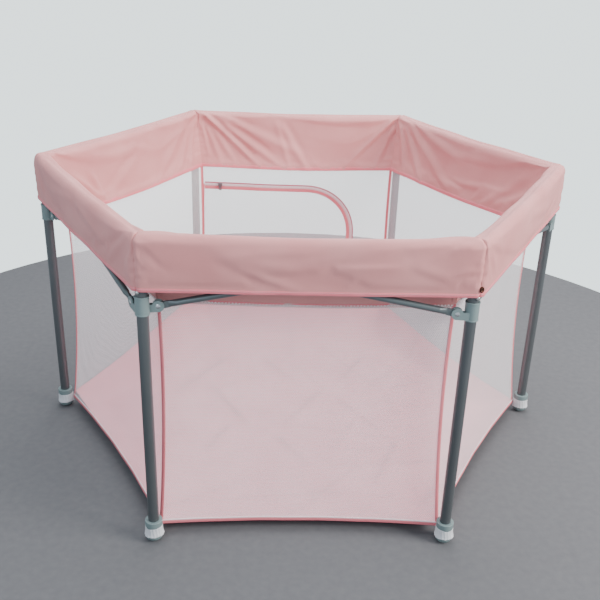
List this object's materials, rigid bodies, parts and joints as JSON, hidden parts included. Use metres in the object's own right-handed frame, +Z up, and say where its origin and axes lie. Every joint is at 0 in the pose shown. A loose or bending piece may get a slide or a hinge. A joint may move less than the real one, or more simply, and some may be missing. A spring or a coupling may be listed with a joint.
{
  "type": "playpen",
  "caption": "Folding hexagonal playpen with scissor-linked legs, padded sleeve cover, net walls, fabric floor and a zipped net door.",
  "frame": {"origin": "centre of the hexagon at floor level, under the feet", "axes": "+Z up; the front side faces -Y and the zipped door's side faces +Y; +X runs through the right-hand leg"},
  "size_m": [1.2296, 1.0648, 0.664],
  "materials": {
    "leg_paint": "satin powder coat, dark slate grey",
    "arm_paint": "satin powder coat, mid grey",
    "grey_plastic": "fine moulded texture",
    "rivet_steel": "bright plated",
    "button_steel": "polished dome",
    "cover_fabric": "woven polyester, dusty rose",
    "net_fabric": "fine knitted net with pink binding",
    "floor_fabric": "coated woven polyester",
    "strap_webbing": "narrow elastic webbing",
    "zip_metal": "dark lacquer"
  },
  "bodies": {
    "root": {"leg_tube_back_left": "leg_paint", "foot_back_left": "grey_plastic", "top_hub_back_left": "grey_plastic", "top_cover": "cover_fabric", "mesh_walls": "net_fabric", "floor_mat": "floor_fabric", "foot_straps": "strap_webbing"},
    "leg_left": {"leg_tube_left": "leg_paint", "foot_left": "grey_plastic", "top_hub_left": "grey_plastic"},
    "leg_front_left": {"leg_tube_front_left": "leg_paint", "foot_front_left": "grey_plastic", "top_hub_front_left": "grey_plastic"},
    "leg_front_right": {"leg_tube_front_right": "leg_paint", "foot_front_right": "grey_plastic", "top_hub_front_right": "grey_plastic"},
    "leg_right": {"leg_tube_right": "leg_paint", "foot_right": "grey_plastic", "top_hub_right": "grey_plastic"},
    "leg_back_right": {"leg_tube_back_right": "leg_paint", "foot_back_right": "grey_plastic", "top_hub_back_right": "grey_plastic"},
    "slider_back_left": {"slider_back_left": "grey_plastic"},
    "lock_button_back_left": {"lock_button_back_left": "button_steel"},
    "slider_left": {"slider_left": "grey_plastic"},
    "lock_button_left": {"lock_button_left": "button_steel"},
    "slider_front_left": {"slider_front_left": "grey_plastic"},
    "lock_button_front_left": {"lock_button_front_left": "button_steel"},
    "slider_front_right": {"slider_front_right": "grey_plastic"},
    "lock_button_front_right": {"lock_button_front_right": "button_steel"},
    "slider_right": {"slider_right": "grey_plastic"},
    "lock_button_right": {"lock_button_right": "button_steel"},
    "slider_back_right": {"slider_back_right": "grey_plastic"},
    "lock_button_back_right": {"lock_button_back_right": "button_steel"},
    "outer_arm_left_rear": {"outer_arm_left_rear": "arm_paint", "outer_arm_rivets_left_rear": "rivet_steel"},
    "inner_arm_left_rear": {"inner_arm_left_rear": "arm_paint", "inner_arm_rivets_left_rear": "rivet_steel"},
    "outer_arm_left_front": {"outer_arm_left_front": "arm_paint", "outer_arm_rivets_left_front": "rivet_steel"},
    "inner_arm_left_front": {"inner_arm_left_front": "arm_paint", "inner_arm_rivets_left_front": "rivet_steel"},
    "outer_arm_front": {"outer_arm_front": "arm_paint", "outer_arm_rivets_front": "rivet_steel"},
    "inner_arm_front": {"inner_arm_front": "arm_paint", "inner_arm_rivets_front": "rivet_steel"},
    "outer_arm_right_front": {"outer_arm_right_front": "arm_paint", "outer_arm_rivets_right_front": "rivet_steel"},
    "inner_arm_right_front": {"inner_arm_right_front": "arm_paint", "inner_arm_rivets_right_front": "rivet_steel"},
    "outer_arm_right_rear": {"outer_arm_right_rear": "arm_paint", "outer_arm_rivets_right_rear": "rivet_steel"},
    "inner_arm_right_rear": {"inner_arm_right_rear": "arm_paint", "inner_arm_rivets_right_rear": "rivet_steel"},
    "outer_arm_back": {"outer_arm_back": "arm_paint", "outer_arm_rivets_back": "rivet_steel"},
    "inner_arm_back": {"inner_arm_back": "arm_paint", "inner_arm_rivets_back": "rivet_steel"},
    "door": {"door_flap": "net_fabric"},
    "zip_pull": {"zip_slider": "zip_metal"}
  },
  "joints": [
    {"name": "fold", "type": "hinge", "parent": "root", "child": "outer_arm_left_rear", "pos_m": [-0.31685, 0.49355, 0.63], "axis": [0.866, -0.5, 0], "range_deg": [0, 73.54], "deforming": ["top_cover", "mesh_walls", "floor_mat", "foot_straps", "door_flap", "zip_slider"]},
    {"name": "centre_pivot_left_rear", "type": "hinge", "parent": "outer_arm_left_rear", "child": "inner_arm_left_rear", "pos_m": [-0.4455, 0.25721, 0.5755], "axis": [0.866, -0.5, 0], "range_deg": [-147.08, 0]},
    {"name": "hub_pivot_inner_left_rear", "type": "hinge", "parent": "inner_arm_left_rear", "child": "leg_left", "pos_m": [-0.57415, 0.02087, 0.63], "axis": [0.866, -0.5, 0], "range_deg": [0, 73.54]},
    {"name": "hub_pivot_outer_left_front", "type": "hinge", "parent": "leg_left", "child": "outer_arm_left_front", "pos_m": [-0.58585, -0.02762, 0.63], "axis": [0.866, 0.5, 0], "range_deg": [0, 73.54]},
    {"name": "centre_pivot_left_front", "type": "hinge", "parent": "outer_arm_left_front", "child": "inner_arm_left_front", "pos_m": [-0.4455, -0.25721, 0.5755], "axis": [0.866, 0.5, 0], "range_deg": [-147.08, 0]},
    {"name": "hub_pivot_inner_left_front", "type": "hinge", "parent": "inner_arm_left_front", "child": "leg_front_left", "pos_m": [-0.30515, -0.48679, 0.63], "axis": [0.866, 0.5, 0], "range_deg": [0, 73.54]},
    {"name": "hub_pivot_outer_front", "type": "hinge", "parent": "leg_front_left", "child": "outer_arm_front", "pos_m": [-0.269, -0.52117, 0.63], "axis": [0, 1, 0], "range_deg": [0, 73.54]},
    {"name": "centre_pivot_front", "type": "hinge", "parent": "outer_arm_front", "child": "inner_arm_front", "pos_m": [0, -0.51442, 0.5755], "axis": [0, 1, 0], "range_deg": [-147.08, 0]},
    {"name": "hub_pivot_inner_front", "type": "hinge", "parent": "inner_arm_front", "child": "leg_front_right", "pos_m": [0.269, -0.50767, 0.63], "axis": [0, 1, 0], "range_deg": [0, 73.54]},
    {"name": "hub_pivot_inner_back", "type": "hinge", "parent": "root", "child": "inner_arm_back", "pos_m": [-0.269, 0.50767, 0.63], "axis": [0, -1, 0], "range_deg": [-73.54, 0]},
    {"name": "centre_pivot_back", "type": "hinge", "parent": "inner_arm_back", "child": "outer_arm_back", "pos_m": [0, 0.51442, 0.5755], "axis": [0, -1, 0], "range_deg": [0, 147.08]},
    {"name": "hub_pivot_outer_back", "type": "hinge", "parent": "outer_arm_back", "child": "leg_back_right", "pos_m": [0.269, 0.52117, 0.63], "axis": [0, -1, 0], "range_deg": [-73.54, 0]},
    {"name": "hub_pivot_inner_right_rear", "type": "hinge", "parent": "leg_back_right", "child": "inner_arm_right_rear", "pos_m": [0.30515, 0.48679, 0.63], "axis": [-0.866, -0.5, 0], "range_deg": [-73.54, 0]},
    {"name": "centre_pivot_right_rear", "type": "hinge", "parent": "inner_arm_right_rear", "child": "outer_arm_right_rear", "pos_m": [0.4455, 0.25721, 0.5755], "axis": [-0.866, -0.5, 0], "range_deg": [0, 147.08]},
    {"name": "hub_pivot_outer_right_rear", "type": "hinge", "parent": "outer_arm_right_rear", "child": "leg_right", "pos_m": [0.58585, 0.02762, 0.63], "axis": [-0.866, -0.5, 0], "range_deg": [-73.54, 0]},
    {"name": "hub_pivot_outer_right_front", "type": "hinge", "parent": "leg_front_right", "child": "outer_arm_right_front", "pos_m": [0.31685, -0.49355, 0.63], "axis": [-0.866, 0.5, 0], "range_deg": [0, 73.54]},
    {"name": "hub_pivot_inner_right_front", "type": "hinge", "parent": "leg_right", "child": "inner_arm_right_front", "pos_m": [0.57415, -0.02087, 0.63], "axis": [-0.866, 0.5, 0], "range_deg": [-73.54, 0]},
    {"name": "slider_pivot_back_left", "type": "hinge", "parent": "inner_arm_left_rear", "child": "slider_back_left", "pos_m": [-0.30515, 0.48679, 0.521], "axis": [0.866, -0.5, 0], "range_deg": [0, 73.54]},
    {"name": "slider_pivot_left", "type": "hinge", "parent": "inner_arm_left_front", "child": "slider_left", "pos_m": [-0.57415, -0.02087, 0.521], "axis": [0.866, 0.5, 0], "range_deg": [0, 73.54]},
    {"name": "slider_pivot_front_left", "type": "hinge", "parent": "inner_arm_front", "child": "slider_front_left", "pos_m": [-0.269, -0.50767, 0.521], "axis": [0, 1, 0], "range_deg": [0, 73.54]},
    {"name": "slider_pivot_front_right", "type": "hinge", "parent": "inner_arm_right_front", "child": "slider_front_right", "pos_m": [0.30515, -0.48679, 0.521], "axis": [-0.866, 0.5, 0], "range_deg": [0, 73.54]},
    {"name": "slider_pivot_right", "type": "hinge", "parent": "inner_arm_right_rear", "child": "slider_right", "pos_m": [0.57415, 0.02087, 0.521], "axis": [-0.866, -0.5, 0], "range_deg": [0, 73.54]},
    {"name": "slider_pivot_back_right", "type": "hinge", "parent": "inner_arm_back", "child": "slider_back_right", "pos_m": [0.269, 0.50767, 0.521], "axis": [0, -1, 0], "range_deg": [0, 73.54]},
    {"name": "lock_button_press_back_left", "type": "slide", "parent": "root", "child": "lock_button_back_left", "axis": [0.5, -0.866, 0], "range_m": [0, 0.004], "stiffness_N_per_m": 900, "springref_m": -0.002},
    {"name": "lock_button_press_left", "type": "slide", "parent": "leg_left", "child": "lock_button_left", "axis": [1, 0, 0], "range_m": [0, 0.004], "stiffness_N_per_m": 900, "springref_m": -0.002},
    {"name": "lock_button_press_front_left", "type": "slide", "parent": "leg_front_left", "child": "lock_button_front_left", "axis": [0.5, 0.866, 0], "range_m": [0, 0.004], "stiffness_N_per_m": 900, "springref_m": -0.002},
    {"name": "lock_button_press_front_right", "type": "slide", "parent": "leg_front_right", "child": "lock_button_front_right", "axis": [-0.5, 0.866, 0], "range_m": [0, 0.004], "stiffness_N_per_m": 900, "springref_m": -0.002},
    {"name": "lock_button_press_right", "type": "slide", "parent": "leg_right", "child": "lock_button_right", "axis": [-1, 0, 0], "range_m": [0, 0.004], "stiffness_N_per_m": 900, "springref_m": -0.002},
    {"name": "lock_button_press_back_right", "type": "slide", "parent": "leg_back_right", "child": "lock_button_back_right", "axis": [-0.5, -0.866, 0], "range_m": [0, 0.004], "stiffness_N_per_m": 900, "springref_m": -0.002},
    {"name": "door_swing", "type": "hinge", "parent": "root", "child": "door", "pos_m": [-0.28275, 0.49169, 0.058], "axis": [0.0372, -0.0464, 0.9982], "range_deg": [0, 80]},
    {"name": "zip_slide", "type": "slide", "parent": "root", "child": "zip_pull", "axis": [1, 0, 0], "range_m": [0, 0.22]}
  ],
  "couplings": [
    {"joint": "centre_pivot_left_rear", "follows": "fold", "ratio": -2},
    {"joint": "hub_pivot_inner_left_rear", "follows": "fold", "ratio": 1},
    {"joint": "hub_pivot_outer_left_front", "follows": "fold", "ratio": 1},
    {"joint": "centre_pivot_left_front", "follows": "fold", "ratio": -2},
    {"joint": "hub_pivot_inner_left_front", "follows": "fold", "ratio": 1},
    {"joint": "hub_pivot_outer_front", "follows": "fold", "ratio": 1},
    {"joint": "centre_pivot_front", "follows": "fold", "ratio": -2},
    {"joint": "hub_pivot_inner_front", "follows": "fold", "ratio": 1},
    {"joint": "hub_pivot_inner_back", "follows": "fold", "ratio": -1},
    {"joint": "centre_pivot_back", "follows": "fold", "ratio": 2},
    {"joint": "hub_pivot_outer_back", "follows": "fold", "ratio": -1},
    {"joint": "hub_pivot_inner_right_rear", "follows": "fold", "ratio": -1},
    {"joint": "centre_pivot_right_rear", "follows": "fold", "ratio": 2},
    {"joint": "hub_pivot_outer_right_rear", "follows": "fold", "ratio": -1},
    {"joint": "hub_pivot_outer_right_front", "follows": "fold", "ratio": 1},
    {"joint": "hub_pivot_inner_right_front", "follows": "fold", "ratio": -1},
    {"joint": "slider_pivot_back_left", "follows": "fold", "ratio": 1},
    {"joint": "slider_pivot_left", "follows": "fold", "ratio": 1},
    {"joint": "slider_pivot_front_left", "follows": "fold", "ratio": 1},
    {"joint": "slider_pivot_front_right", "follows": "fold", "ratio": 1},
    {"joint": "slider_pivot_right", "follows": "fold", "ratio": 1},
    {"joint": "slider_pivot_back_right", "follows": "fold", "ratio": 1}
  ]
}
